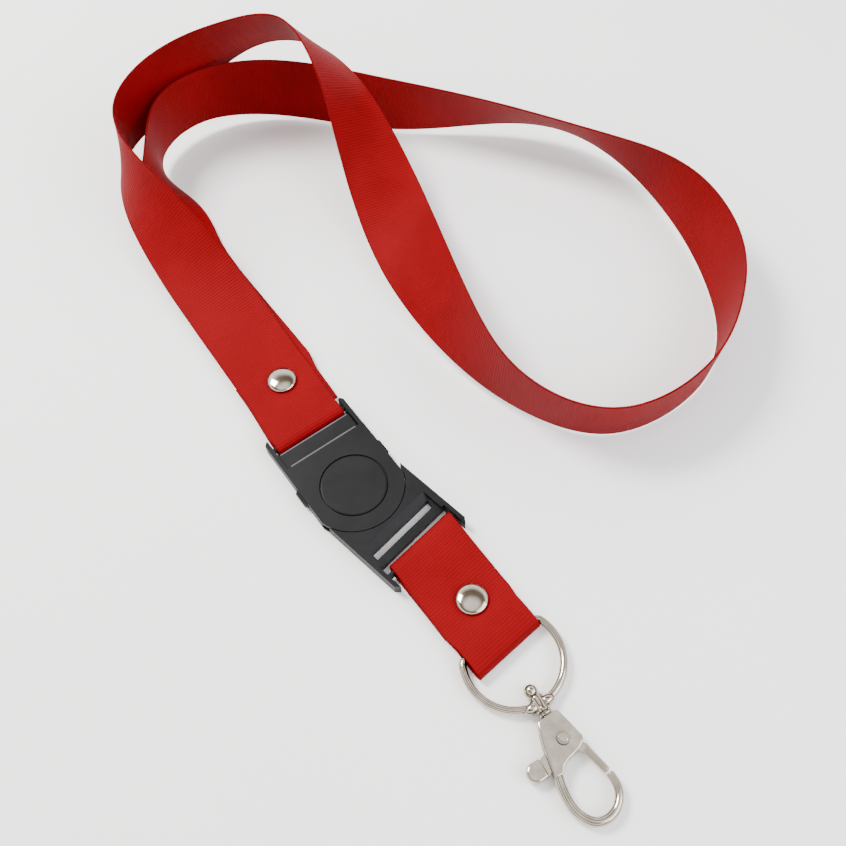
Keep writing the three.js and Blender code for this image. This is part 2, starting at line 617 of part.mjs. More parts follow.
function gateLever() {
  const link = slab(
    [[12.2, 1.9], [12.9, -1.2], [15, 0.9], [17.3, 2.6], [17, 4.8], [15.3, 4.6]], LEVER_BOTTOM, LEVER_TOP,
  );
  const arm = slab(
    [[9.4, -1.6], [11.9, -7.6], [11.9, -9.4], [17, -9.4], [16.6, -7.4], [13.2, -1.6]],
    LEVER_BOTTOM,
    LEVER_TOP,
  );
  const paddle = slab(
    [[11.8, -8.6], [17.1, -8.8], [17.2, -11.4], [16.2, -13.2], [14.4, -14], [12.6, -13.4], [11.6, -11.5]],
    0.9, 3.7,
  );
  const path = range(16.4, 24, 9).map((x) => [x, THREE.MathUtils.mapLinear(x, 16.4, 24, 3.75, 5.05)]);
  const bar = flatTube(path, () => 1.1, () => 1.3, false);
  const hub = post(PIN.x, PIN.y, 2.3, LEVER_BOTTOM, HUB_TOP);
  const pocket = post(PIN.x, PIN.y, 2.45, HUB_TOP, LEVER_TOP + 1);
  const solid = joined(hub, cut(joined(link, arm), pocket), paddle, bar);
  return cut(solid, post(PIN.x, PIN.y, PIN_RADIUS + 0.25, 0, 6));
}

function gatePin() {
  const shaft = post(PIN.x, PIN.y, PIN_RADIUS, CHEEK_BOTTOM, CHEEK_TOP + 0.35);
  return cut(shaft, post(PIN.x, PIN.y, 0.5, CHEEK_TOP + 0.1, CHEEK_TOP + 1, 16));
}

// One and a half turns round the pin, with a leg that rests in the hook's neck.
function gateSpring() {
  const coilRadius = 1.5;
  const from = 2.5;
  const leg = [[PIN.x - 3.6, PIN.y + coilRadius, from], [PIN.x - 1.8, PIN.y + coilRadius, from]];
  const turns = range(90, -450, 28).map((a, i) => [
    PIN.x + coilRadius * Math.cos(degrees(a)),
    PIN.y + coilRadius * Math.sin(degrees(a)),
    from + (0.45 * i) / 27,
  ]);
  const path = new THREE.CatmullRomCurve3([...leg, ...turns].map((point) => new THREE.Vector3(...point)));
  const section = shapeOf(arc(0, 0, 0.15, 0, 300, 6));
  return solidOf(new THREE.ExtrudeGeometry(section, { steps: 60, bevelEnabled: false, extrudePath: path }));
}

place(hook, 'swivel_stem', swivelStem(), 'nickel');
place(hook, 'hook_body', hookBody(), 'nickel');
place(hook, 'gate_lever', gateLever(), 'nickel');
place(hook, 'gate_pin', gatePin(), 'nickel');
place(hook, 'gate_spring', gateSpring(), 'steel');

export default lanyard;
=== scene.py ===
# A neck lanyard, laid out on a pale surface: ribbon, release buckle, short strap, D-ring and snap hook.
# Sizes below are in millimetres, as in the frame's own drawing, and MM turns them into metres.
import math

import bmesh
import bpy
import numpy as np
from mathutils import Matrix, Vector


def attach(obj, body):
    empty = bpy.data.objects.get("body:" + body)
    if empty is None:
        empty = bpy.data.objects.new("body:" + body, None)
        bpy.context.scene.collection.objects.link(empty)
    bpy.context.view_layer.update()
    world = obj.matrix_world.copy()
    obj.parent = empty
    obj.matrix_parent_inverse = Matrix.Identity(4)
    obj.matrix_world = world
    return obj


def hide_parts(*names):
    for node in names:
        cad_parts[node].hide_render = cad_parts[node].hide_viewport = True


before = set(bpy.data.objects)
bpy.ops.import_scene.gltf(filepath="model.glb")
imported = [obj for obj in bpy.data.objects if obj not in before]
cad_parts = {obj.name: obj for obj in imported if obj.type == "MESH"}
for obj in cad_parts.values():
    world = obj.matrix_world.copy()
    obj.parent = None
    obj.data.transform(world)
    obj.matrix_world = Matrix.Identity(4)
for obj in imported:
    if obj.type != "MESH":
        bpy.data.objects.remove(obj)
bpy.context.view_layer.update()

MM = 0.001


# ---------------------------------------------------------------- camera
def add_camera():
    place = Vector((22.49, -140.67, 279))
    tilt = math.radians(59.6)
    roll = math.radians(3.64)
    right_level = Vector((1, 0, 0))
    up_level = Vector((0, math.sin(tilt), math.cos(tilt)))
    right = right_level * math.cos(roll) - up_level * math.sin(roll)
    up = right_level * math.sin(roll) + up_level * math.cos(roll)
    back = right.cross(up)
    data = bpy.data.cameras.new("camera")
    data.sensor_width = 36
    data.lens = 42.55
    data.clip_start = 0.01
    camera = bpy.data.objects.new("camera", data)
    turn = Matrix((right, up, back)).transposed().to_4x4()
    camera.matrix_world = Matrix.Translation(place * MM) @ turn
    bpy.context.scene.collection.objects.link(camera)
    bpy.context.scene.camera = camera


add_camera()


# ---------------------------------------------------------------- node helpers
class Nodes:
    """Short calls for building one material's node tree."""

    def __init__(self, name):
        self.material = bpy.data.materials.new(name)
        self.material.use_nodes = True
        self.tree = self.material.node_tree
        self.shader = self.tree.nodes["Principled BSDF"]

    def add(self, kind, **settings):
        node = self.tree.nodes.new("ShaderNode" + kind)
        for key, value in settings.items():
            setattr(node, key, value)
        return node

    def plug(self, value, socket):
        if isinstance(value, bpy.types.NodeSocket):
            self.tree.links.new(value, socket)
        else:
            socket.default_value = value

    def math(self, operation, a, b=0.0):
        node = self.add("Math", operation=operation)
        self.plug(a, node.inputs[0])
        self.plug(b, node.inputs[1])
        return node.outputs[0]

    def coords(self, kind="Object"):
        return self.add("TexCoord").outputs[kind]

    def noise(self, vector, scale, detail=3.0, roughness=0.55):
        node = self.add("TexNoise")
        self.plug(vector, node.inputs["Vector"])
        node.inputs["Scale"].default_value = scale
        node.inputs["Detail"].default_value = detail
        node.inputs["Roughness"].default_value = roughness
        return node.outputs["Fac"]

    def ramp(self, value, stops):
        node = self.add("ValToRGB")
        self.plug(value, node.inputs[0])
        elements = node.color_ramp.elements
        while len(elements) < len(stops):
            elements.new(0.5)
        for element, (position, colour) in zip(elements, stops):
            element.position = position
            element.color = (*colour, 1)
        return node.outputs["Color"]

    def span(self, value, low, high):
        node = self.add("MapRange")
        self.plug(value, node.inputs["Value"])
        node.inputs["To Min"].default_value = low
        node.inputs["To Max"].default_value = high
        return node.outputs["Result"]

    def mix(self, factor, a, b):
        node = self.add("Mix", data_type="RGBA")
        self.plug(factor, node.inputs[0])
        self.plug(a, node.inputs[6])
        self.plug(b, node.inputs[7])
        return node.outputs[2]

    def bump(self, height, strength, distance, normal=None):
        node = self.add("Bump")
        node.inputs["Strength"].default_value = strength
        node.inputs["Distance"].default_value = distance
        self.plug(height, node.inputs["Height"])
        if normal is not None:
            self.plug(normal, node.inputs["Normal"])
        return node.outputs["Normal"]

    def set(self, **values):
        for key, value in values.items():
            self.plug(value, self.shader.inputs[key.replace("_", " ")])
        return self.material


RIB_PITCH = 1.0
WARP_PITCH = 0.42
SELVEDGE_START = 11.9  # distance from the ribbon's middle to its bound edge


def ribbon_material():
    """Satin ribbon: cross ribs a millimetre apart, with painted highlight on their crests, fine warp threads,
    a soft selvedge.
    """
    n = Nodes("ribbon")
    uv = n.add("SeparateXYZ")
    n.plug(n.coords("UV"), uv.inputs[0])
    across, along = uv.outputs[0], uv.outputs[1]  # both in millimetres
    wander = n.noise(n.coords(), 900.0, 2.0)
    even_phase = n.math("MULTIPLY", along, 2 * math.pi / RIB_PITCH)
    ribs = n.math("SINE", n.math("ADD", even_phase, n.math("MULTIPLY", wander, 1.1)))
    warp = n.math("SINE", n.math("MULTIPLY", across, 2 * math.pi / WARP_PITCH))
    weave = n.math("ADD", n.math("MULTIPLY", ribs, 0.7), n.math("MULTIPLY", warp, 0.22))
    edge = n.math("GREATER_THAN", n.math("ABSOLUTE", across), SELVEDGE_START)
    mottle = n.noise(n.coords(), 60.0, 4.0)
    base = n.ramp(mottle, [(0.3, (0.135, 0.0006, 0.0024)), (0.7, (0.17, 0.0012, 0.0036))])
    # Painted light on the ribs: the rib crests are mixed towards a lighter red, and the hollows between them
    # stay darker as painted shade.
    rib_crest_light = n.span(ribs, 0.0, 1.0)
    rib_painted_light = n.mix(n.math("MULTIPLY", rib_crest_light, 0.22), base, (0.28, 0.003, 0.004, 1))
    bound = n.mix(n.math("MULTIPLY", edge, 0.35), rib_painted_light, (0.11, 0.001, 0.002, 1))
    fuzz = n.bump(n.noise(n.coords(), 4000.0, 2.0), 0.25, 0.00006)
    return n.set(
        Base_Color=bound, Roughness=n.span(mottle, 0.5, 0.62), Specular_IOR_Level=0.04,
        Sheen_Weight=0.02, Sheen_Roughness=0.4, Sheen_Tint=(0.9, 0.2, 0.2, 1),
        Normal=n.bump(weave, 0.55, 0.00009, fuzz),
    )


def plastic_material(name, dark, light, roughness):
    """Moulded plastic with a fine spark-eroded grain and slightly polished high spots."""
    n = Nodes(name)
    tone = n.noise(n.coords(), 110.0, 5.0)
    grain = n.noise(n.coords(), 5200.0, 3.0, 0.6)
    scuffs = n.noise(n.coords(), 700.0, 6.0, 0.7)
    colour = n.ramp(tone, [(0.3, dark), (0.75, light)])
    high_spots = n.math("GREATER_THAN", scuffs, 0.68)
    worn = n.mix(n.math("MULTIPLY", high_spots, 0.12), colour, (0.05, 0.05, 0.055, 1))
    return n.set(
        Base_Color=worn, Roughness=n.span(scuffs, roughness - 0.08, roughness + 0.1),
        Specular_IOR_Level=0.13, Normal=n.bump(grain, 0.28, 0.00005),
    )


def metal_material(name, colour, tint, rough):
    """Plated metal: a faint warm mottle, and fine polishing marks that vary its gloss."""
    n = Nodes(name)
    cloud = n.noise(n.coords(), 240.0, 4.0)
    marks = n.noise(n.coords(), 3200.0, 6.0, 0.7)
    base = n.ramp(cloud, [(0.3, tint), (0.7, colour)])
    return n.set(
        Base_Color=base, Metallic=1.0, Roughness=n.span(marks, rough * 0.6, rough * 1.5),
        Normal=n.bump(marks, 0.07, 0.00003),
    )


MATERIALS = {
    "ribbon": ribbon_material(),
    "plastic": plastic_material("plastic", (0.0045, 0.0047, 0.0056), (0.0085, 0.0088, 0.0102), 0.42),
    # The ridge finish is a lighter copy of the housing plastic: a painted highlight for the lit faces of the
    # moulded ridges.
    "ridge": plastic_material("ridge", (0.07, 0.072, 0.08), (0.11, 0.113, 0.12), 0.3),
    "pad": plastic_material("pad", (0.005, 0.005, 0.006), (0.009, 0.009, 0.01), 0.5),
    "nickel": metal_material("nickel", (0.50, 0.45, 0.38), (0.36, 0.31, 0.25), 0.10),
    "steel": metal_material("steel", (0.55, 0.55, 0.54), (0.42, 0.42, 0.42), 0.3),
}


# ---------------------------------------------------------------- mesh helpers
def piece(name, vertices, faces, finish, body, replaces=(), matrix=None, smooth=35, bevel=0.0):
    """A mesh in millimetres, placed by matrix, given its finish and put on its body."""
    mesh = bpy.data.meshes.new(name)
    place = matrix or Matrix.Identity(4)
    mesh.from_pydata([place @ (Vector(v) * MM) for v in vertices], [], faces)
    mesh.materials.append(MATERIALS[finish])
    edit = bmesh.new()
    edit.from_mesh(mesh)
    bmesh.ops.recalc_face_normals(edit, faces=edit.faces)
    edit.to_mesh(mesh)
    edit.free()
    obj = bpy.data.objects.new(name, mesh)
    bpy.context.scene.collection.objects.link(obj)
    soften(obj, smooth, bevel)
    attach(obj, body)
    if replaces:
        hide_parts(*replaces)
    return obj


def soften(obj, smooth, bevel):
    """Rounds the sharp edges, then shades smooth across the shallow ones."""
    if bevel:
        round_off = obj.modifiers.new("bevel", "BEVEL")
        round_off.width = bevel * MM
        round_off.segments = 3
        round_off.limit_method = "ANGLE"
        round_off.angle_limit = math.radians(38)
    for polygon in obj.data.polygons:
        polygon.use_smooth = True
    if smooth < 180:
        obj.data.set_sharp_from_angle(angle=math.radians(smooth))


def frame_at(heading, x, y, z=0.0):
    return Matrix.Translation(Vector((x, y, z)) * MM) @ Matrix.Rotation(math.radians(heading), 4, "Z")


def lathe(profile, axis="Z", sides=64, centre=(0, 0, 0)):
    """Turns (radius, height) pairs round an axis; a radius of 0 closes an end."""
    vertices, rings = [], []
    for radius, height in profile:
        count = 1 if radius == 0 else sides
        rings.append(range(len(vertices), len(vertices) + count))
        for k in range(count):
            a = 2 * math.pi * k / sides
            p, q = radius * math.cos(a), radius * math.sin(a)
            spot = (p, q, height) if axis == "Z" else (height, p, q)
            vertices.append(tuple(s + c for s, c in zip(spot, centre)))
    faces = []
    for lower, upper in zip(rings, rings[1:]):
        for k in range(sides):
            a, b = lower[k % len(lower)], lower[(k + 1) % len(lower)]
            c, d = upper[(k + 1) % len(upper)], upper[k % len(upper)]
            face = list(dict.fromkeys((a, b, c, d)))
            if len(face) > 2:
                faces.append(face)
    return vertices, faces


def plate(outline, bottom, top):
    count = len(outline)
    vertices = [(x, y, z) for z in (bottom, top) for x, y in outline]
    faces = [list(range(count))[::-1], list(range(count, 2 * count))]
    faces += [[k, (k + 1) % count, count + (k + 1) % count, count + k] for k in range(count)]
    return vertices, faces


def flat_tube(path, half_width, half_height, z, closed=False, sides=28, cap=0.0):
    """A tube in a level plane, with an oval section and, if capped, rounded ends."""
    count = len(path)
    points = [np.array(p, float) for p in path]
    rings = []
    for i, point in enumerate(points):
        before = points[(i - 1) % count] if closed else points[max(i - 1, 0)]
        after = points[(i + 1) % count] if closed else points[min(i + 1, count - 1)]
        ahead = (after - before) / np.linalg.norm(after - before)
        t = i / max(count - 1, 1)
        rings.append((point, ahead, half_width(t), half_height(t)))
    if cap and not closed:
        start, end = rings[0], rings[-1]
        for step in range(1, 5):
            a = step / 5 * math.pi / 2
            for at, sign, put in ((start, -1, 0), (end, 1, len(rings))):
                moved = at[0] + at[1] * sign * cap * math.sin(a)
                ring = (moved, at[1], at[2] * math.cos(a), at[3] * math.cos(a))
                rings.insert(0, ring) if sign < 0 else rings.append(ring)
    vertices = []
    for point, ahead, wide, high in rings:
        side = np.array((-ahead[1], ahead[0]))
        for k in range(sides):
            a = 2 * math.pi * k / sides
            spot = point + side * wide * math.cos(a)
            vertices.append((spot[0], spot[1], z + high * math.sin(a)))
    total = len(rings)
    faces = []
    for i in range(total if closed else total - 1):
        for k in range(sides):
            j = (i + 1) % total
            after = (k + 1) % sides
            faces.append([i * sides + k, i * sides + after, j * sides + after, j * sides + k])
    if not closed:
        faces.append(list(range(sides))[::-1])
        faces.append([(total - 1) * sides + k for k in range(sides)])
    return vertices, faces


def arc(cx, cy, radius, start, end, count):
    return [(cx + radius * math.cos(math.radians(a)), cy + radius * math.sin(math.radians(a)))
            for a in np.linspace(start, end, count)]


# ---------------------------------------------------------------- ribbon
STRAP_WIDTH = 25.0
REST_CLEARANCE = 0.5
FIRST_LAYER = 1.075  # middle of the lowest strap layer at a rivet, above the surface
LAYER_STEP = 0.85
LOW_LAYER = 0.475
EYE_RADIUS = 1.825
BAR_HEIGHT = 2.3
HOUSING_BAR = 26.0
HOUSING_HEADING = 122.8
ROW_STEP = 1.1
SPLINE_TRUST = 0.35  # a spline that strays further than this from the plain rows isn't followed

# x and y of the ribbon's middle, the lift of its lower edge, and its roll in degrees.
LOOP_STATIONS = [
    (-28, 46, 2.3, 0), (-46, 75, 2.4, 12), (-63, 99, 6, 42), (-75, 117, 10, 67), (-78, 137, 14, 86),
    (-63, 157, 18, 91), (-38, 167, 27, 66), (-15, 165, 31, 56), (0, 147, 27, 42), (9, 127, 18, 20),
    (17, 103, 10, -8), (25, 75, 6, -38), (38, 44, 4, -72), (55, 22, 2, -96), (82, 12, 0, -102),
    (110, 25, 0, -97), (124, 47, 0, -96), (127, 72, 0, -106), (119, 99, 1, -98), (100, 121, 4, -66),
    (76, 137, 7, -51), (48, 147, 4, -66), (15, 156, 1, -90), (-20, 167, 1, -96), (-50, 164, 4, -87),
    (-67, 150, 4, -85), (-69, 132, 1, -98), (-63, 113, 0.4, -156), (-56, 95, 0.6, -176), (-42, 72, 1, -180),
    (-25, 46, 1.4, -180),
]


def spline_through(rows, parameter, targets):
    """Natural cubic spline through rows of numbers at increasing parameters, read at the targets."""
    rows, t = np.array(rows, float), np.array(parameter, float)
    gap = np.diff(t)
    slope = np.diff(rows, axis=0) / gap[:, None]
    system = np.eye(len(rows))
    right = np.zeros_like(rows)
    for i in range(1, len(rows) - 1):
        system[i, i - 1:i + 2] = gap[i - 1], 2 * (gap[i - 1] + gap[i]), gap[i]
        right[i] = 6 * (slope[i] - slope[i - 1])
    second = np.linalg.solve(system, right)
    i = np.clip(np.searchsorted(t, targets, side="right") - 1, 0, len(t) - 2)
    h = gap[i][:, None]
    b = (np.asarray(targets)[:, None] - t[i][:, None]) / h
    a = 1 - b
    bend = ((a ** 3 - a) * second[i] + (b ** 3 - b) * second[i + 1]) * h ** 2 / 6
    return a * rows[i] + b * rows[i + 1] + bend


def loop_rows(per_station=8):
    """Middle, across and face of the neck ribbon at steps round its loop, worked out four times as finely."""
    route = [(x, y, lift + STRAP_WIDTH / 2 * abs(math.sin(math.radians(roll))) + REST_CLEARANCE, roll)
             for x, y, lift, roll in LOOP_STATIONS]
    last = len(route) - 1
    targets = np.linspace(0, last, last * per_station * 4 + 1)
    at = spline_through(route, range(last + 1), targets)
    middle, roll = at[:, :3], np.radians(at[:, 3])[:, None]
    ahead = np.gradient(middle, axis=0)
    ahead /= np.linalg.norm(ahead, axis=1)[:, None]
    level = np.stack((ahead[:, 1], -ahead[:, 0], np.zeros(len(ahead))), axis=1)
    level /= np.linalg.norm(level, axis=1)[:, None]
    across = np.cos(roll) * level + np.sin(roll) * np.cross(level, ahead)
    rows = np.hstack((middle, across, np.cross(across, ahead)))
    return rows[::4]


def profile_rows(profile, origin, heading, row_heading):
    """Rows of a strap in a plane: (distance along, height, turn of the face, sideways shift)."""
    along = np.array((math.cos(math.radians(heading)), math.sin(math.radians(heading)), 0))
    rows = []
    for x, z, turn, *shift in profile:
        angle = math.radians(row_heading(x))
        across = np.array((math.cos(angle), math.sin(angle), 0))
        square = np.array((-across[1], across[0], 0))
        face = np.array((0, 0, math.cos(math.radians(turn)))) - square * math.sin(math.radians(turn))
        middle = np.array((origin[0], origin[1], z)) + along * x + across * (shift[0] if shift else 0)
        rows.append(np.concatenate((middle, across, face)))
    return np.array(rows)


def half_turn(centre, height, radius, start, end):
    """Profile rows of a strap that wraps a bar, from one turn of its face to another."""
    turns = [(math.radians(a), a) for a in np.linspace(start, end, 9)]
    return [(centre - radius * math.sin(r), height + radius * math.cos(r), a) for r, a in turns]


def eye_profile(bar):
    return half_turn(bar, BAR_HEIGHT, EYE_RADIUS, 180, 0)


def even_rows(rows):
    """The rows again, smoothly and evenly spaced, with the distance run so far."""
    run = np.r_[0, np.cumsum(np.linalg.norm(np.diff(rows[:, :3], axis=0), axis=1))]
    targets = np.linspace(0, run[-1], int(run[-1] / ROW_STEP) + 1)
    even = np.stack([np.interp(targets, run, rows[:, k]) for k in range(9)], axis=1)
    smooth = spline_through(rows, run, targets)
    off = np.linalg.norm(smooth[:, :3] - even[:, :3], axis=1)[:, None]
    mixed = np.where(off < SPLINE_TRUST, smooth, even)
    return mixed, targets


# Half of the strap's section, from its middle to its bound edge: (part of half width, half thickness)
HALF_THICKNESS = 0.29
SECTION = [(u, HALF_THICKNESS) for u in (0.0, 0.3, 0.6, 0.85, 0.94)]
SECTION += [(0.962, 0.33), (0.985, 0.3), (1.0, 0.0)]


def ribbon_mesh(rows, half_width):
    even, run = even_rows(rows)
    ring = [(u, h) for u, h in SECTION[::-1]] + [(-u, h) for u, h in SECTION[1:]]
    ring += [(-u, -h) for u, h in SECTION[-2::-1]] + [(u, -h) for u, h in SECTION[1:-1]]
    vertices, coordinates = [], []
    for row, s in zip(even, run):
        middle, across, face = row[:3], row[3:6], row[6:]
        across = across / np.linalg.norm(across)
        face = face - across * face.dot(across)
        face /= np.linalg.norm(face)
        half = half_width(s)
        wave = 0.05 * math.sin(s / 7.3) + 0.04 * math.sin(s / 3.1 + 1.7)
        for u, h in ring:
            out, up = u * half + 0.4 * wave, h + wave * 0.5 * (1 - u * u)
            vertices.append(tuple(middle + across * out + face * up))
            coordinates.append((u * half, s))
    count, total = len(ring), len(even)
    steps = [(k, (k + 1) % count) for k in range(count)]
    faces = [[i * count + k, i * count + after, (i + 1) * count + after, (i + 1) * count + k]
             for i in range(total - 1) for k, after in steps]
    faces.append(list(range(count)))
    faces.append([(total - 1) * count + k for k in range(count)][::-1])
    return vertices, faces, coordinates, run[-1]


def ribbon(name, rows, body, half_width=lambda s: STRAP_WIDTH / 2):
    vertices, faces, coordinates, length = ribbon_mesh(rows, half_width)
    obj = piece(name, vertices, faces, "ribbon", body, smooth=180)
    layer = obj.data.uv_layers.new(name="UVMap")
    for loop in obj.data.loops:
        layer.data[loop.index].uv = coordinates[loop.vertex_index]
    print(name, "is", round(length, 1), "mm long")
    return obj, length


def layer(i):
    return FIRST_LAYER + i * LAYER_STEP


def neck_rows():
    tail = [(54, layer(0), 180, 1.3), (44, layer(0), 180, 1), (35, LOW_LAYER + 0.1, 180, 0.3),
            (30, LOW_LAYER, 180)]
    risen = [(30, 3.95, 0), (34, 3.45, 0, 0.3), (38, 3, 0, 0.7), (43, layer(2), 0, 1.15)]
    tucked = [(46, layer(1), 180, 2.7), (38, layer(1), 180, 2.2), (31, layer(1), 180, 1.8)]
    place = ((0, 0), HOUSING_HEADING, lambda x: HOUSING_HEADING - 90)
    start = profile_rows(tail + eye_profile(HOUSING_BAR) + risen, *place)
    return np.vstack((start, loop_rows(), profile_rows(tucked, *place)))


def short_row_heading(x):
    return 41.8 - 3.3 * (min(max(x, 3), 22) - 3) / 19 - 180


SHORT_ORIGIN = (20.16, -20.44)
SHORT_HEADING = -56.5
FOLD_CENTRE = 39.475
FOLD_HEIGHT = 2.275
FOLD_RADIUS = 1.8


def short_rows():
    fold = half_turn(FOLD_CENTRE, FOLD_HEIGHT, FOLD_RADIUS, 0, -180)
    profile = [
        (26.3, layer(0), 180), (15, layer(0), 180), (8, LOW_LAYER + 0.15, 180), (4, LOW_LAYER, 180),
        *eye_profile(0), (4, 3.95, 0), (9, 3.45, 0), (14, 2.95, 0), (18, layer(2), 0),
        (27, layer(2) + 0.05, 0), (30, 3.45, 0), (32.6, 4.02, 0), *fold, (33, LOW_LAYER, -180),
        (30.5, 1, -180), (27.7, layer(1), -180), (16.5, layer(1), -180),
    ]
    return profile_rows(profile, SHORT_ORIGIN, SHORT_HEADING, short_row_heading)


neck, neck_length = ribbon("neck_ribbon", neck_rows(), "root")
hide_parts("neck_strap")

# The short strap narrows a little where it passes through the D-ring.
SHORT_TAPER = (59.0, 63.0, 86.0, 90.0)  # distances run from the strap's lower end
NARROWING = 0.7  # of each half of the width


def short_half_width(run):
    return STRAP_WIDTH / 2 - NARROWING * float(np.interp(run, SHORT_TAPER, (0, 1, 1, 0)))


short, short_length = ribbon("short_ribbon", short_rows(), "strap", short_half_width)
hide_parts("short_strap")


# ---------------------------------------------------------------- rivets
CAP_BASE = layer(2) + LAYER_STEP / 2 + 0.15


def rivet(side, x, y, body):
    dome = [(0, CAP_BASE), (4.1, CAP_BASE), (4.55, CAP_BASE + 0.06), (4.73, CAP_BASE + 0.25)]
    dome += [(4.75 * math.cos(a), CAP_BASE + 0.35 + 1.2 * math.sin(a)) for a in np.linspace(0.06, 1.5, 16)]
    piece(f"{side}_rivet_dome", *lathe(dome + [(0, CAP_BASE + 1.55)]), "nickel", body,
          [f"{side}_rivet_cap"], frame_at(0, x, y), smooth=60)
    back = [(0, 0.12), (1.0, 0.1), (1.3, 0.0), (4.0, 0.0), (4.4, 0.15), (4.4, 0.4), (4.2, 0.5), (1.3, 0.5),
            (1.3, CAP_BASE + 0.5), (0, CAP_BASE + 0.5)]
    piece(f"{side}_rivet_back", *lathe(back), "nickel", body,
          [f"{side}_rivet_post"], frame_at(0, x, y), smooth=40)


rivet("upper", -23.05, 40.71, "root")
rivet("lower", 33.39, -39.07, "strap")


# ---------------------------------------------------------------- D-ring
WIRE_RADIUS = 1.15
WIRE_HEIGHT = 2.25
RING_RADIUS = 14.25
RING_CORNER = 2.0
RING_BAR_OFFSET = 6.8  # from the middle of the round side back to the straight bar
BARREL_SHIFT = -0.5


def d_ring():
    corner_x = RING_CORNER - RING_BAR_OFFSET
    corner_y = math.sqrt((RING_RADIUS - RING_CORNER) ** 2 - corner_x ** 2)
    meet = math.degrees(math.atan2(corner_y, corner_x))
    path = arc(0, 0, RING_RADIUS, -meet, meet, 90)
    path += arc(corner_x, corner_y, RING_CORNER, meet, 180, 14)[1:]
    bar_end = corner_y - RING_CORNER
    path += [(corner_x - RING_CORNER, y) for y in np.linspace(bar_end, -bar_end, 8)]
    path += arc(corner_x, -corner_y, RING_CORNER, 180, 360 - meet, 14)[:-1]
    place = frame_at(-63, 43.5, -57.1)
    wire = flat_tube(path, lambda t: WIRE_RADIUS, lambda t: WIRE_RADIUS, WIRE_HEIGHT, closed=True)
    piece("d_ring_wire", *wire, "nickel", "ring", ["d_ring"], place, smooth=60)
    profile = [(1.4, -2.25), (1.75, -2.3), (2.05, -2.15), (2.15, -1.8), (1.95, -1.2), (1.95, 1.2),
               (2.15, 1.8), (2.05, 2.15), (1.75, 2.3), (1.4, 2.25), (1.35, 1.9), (1.35, -1.9), (1.4, -2.25)]
    barrel = lathe(profile, "X", 56, (RING_RADIUS, BARREL_SHIFT, WIRE_HEIGHT))
    piece("swivel_barrel", *barrel, "nickel", "ring", matrix=place, smooth=45)
    for side in (-1, 1):
        ear = [(0, 4.9), (0.75, 4.75), (1.25, 4.3), (1.55, 3.6), (1.75, 2.9), (1.8, 2.1), (1.75, 1.4),
               (1.5, 1.1), (0, 1.0)]
        vertices, faces = lathe([(r, side * h) for r, h in ear], "X", 40)
        turned = [(y * 0.95 + RING_RADIUS, x + BARREL_SHIFT, z * 1.02 + WIRE_HEIGHT) for x, y, z in vertices]
        name = "swivel_ear_left" if side > 0 else "swivel_ear_right"
        piece(name, turned, faces, "nickel", "ring", matrix=place, smooth=60)


d_ring()


# ---------------------------------------------------------------- swivel hook
HOOK = frame_at(-61.4, 49.53, -70.04)
PIN = (11.0, -0.2)
CHEEK_BOTTOM = 0.3
CHEEK_TOP = 4.5
CHEEK_INSET = 0.25  # of the blocks between the cheeks
SLOT_BOTTOM = 1.5
SLOT_TOP = 3.3


def swivel_stem():
    knob = [(0, -6.3)] + [(2.0 * math.sin(a), -4.3 - 2.0 * math.cos(a)) for a in np.linspace(0.2, 2.55, 18)]
    shaft = [(1.05, -2.4), (1.05, 2.5), (1.9, 2.7), (2.1, 2.85), (2.1, 3.2), (1.95, 3.4), (1.05, 3.5),
             (1.05, 6.2), (0, 6.3)]
    turned = lathe(knob + shaft, "X", 56, (0, 0, WIRE_HEIGHT))
    piece("swivel_pin", *turned, "nickel", "hook", ["swivel_stem"], HOOK, smooth=50)


def hook_body():
    outline = [(3.8, -3.7), (6.3, -4.7), (10.1, -6.1), (16.4, -7.7), (18.6, -8.1), (18.6, -5.4),
               (17.2, -4.2), (16.2, -2), (15.9, 0.2), (15.4, 2.2), (14.4, 3.9), (13.3, 4.6), (9, 3.9),
               (4.3, 3), (3.8, 2.2)]
    upper, lower = plate(outline, SLOT_TOP, CHEEK_TOP), plate(outline, CHEEK_BOTTOM, SLOT_BOTTOM)
    piece("hook_cheek_upper", *upper, "nickel", "hook", ["hook_body"], HOOK, bevel=0.4)
    piece("hook_cheek_lower", *lower, "nickel", "hook", matrix=HOOK, bevel=0.4)
    neck_block = [(3.8, -3.7), (6.3, -4.7), (6.8, -4.85), (6.8, 3.5), (4.3, 3), (3.8, 2.2)]
    low, high = CHEEK_BOTTOM + CHEEK_INSET, CHEEK_TOP - CHEEK_INSET
    piece("hook_neck", *plate(neck_block, low, high), "nickel", "hook", matrix=HOOK, bevel=0.35)
    tail = [(17.3, -7.92), (18.6, -8.1), (18.6, -5.4), (17.3, -4.3)]
    piece("hook_root", *plate(tail, low, high), "nickel", "hook", matrix=HOOK, bevel=0.3)
    middle = [(17.4, -6.6), (20.5, -7.5), (24.5, -8.15), (28.5, -7.8), (32, -5.8), (33.4, -3), (33.2, 0.2),
              (31.4, 3.2), (28.4, 5), (24.8, 5.25)]
    path = spline_through(middle, range(len(middle)), np.linspace(0, len(middle) - 1, 110))
    bow = flat_tube(
        path, lambda t: 1.45 - 0.25 * t, lambda t: 1.9 - 0.6 * min(1, 3 * t), WIRE_HEIGHT, cap=0.35,
    )
    piece("hook_bow", *bow, "nickel", "hook", matrix=HOOK, smooth=60)
    ring = [(0, CHEEK_TOP + 0.3), (1.15, CHEEK_TOP + 0.3), (1.25, CHEEK_TOP + 0.2), (1.3, CHEEK_TOP + 0.05),
            (1.55, CHEEK_TOP + 0.05), (1.65, CHEEK_TOP + 0.22), (1.95, CHEEK_TOP + 0.25),
            (2.1, CHEEK_TOP + 0.1), (2.15, CHEEK_TOP - 0.2), (0, CHEEK_TOP - 0.2)]
    piece("hook_pivot_boss", *lathe(ring, "Z", 48, (*PIN, 0)), "nickel", "hook", matrix=HOOK, smooth=45)


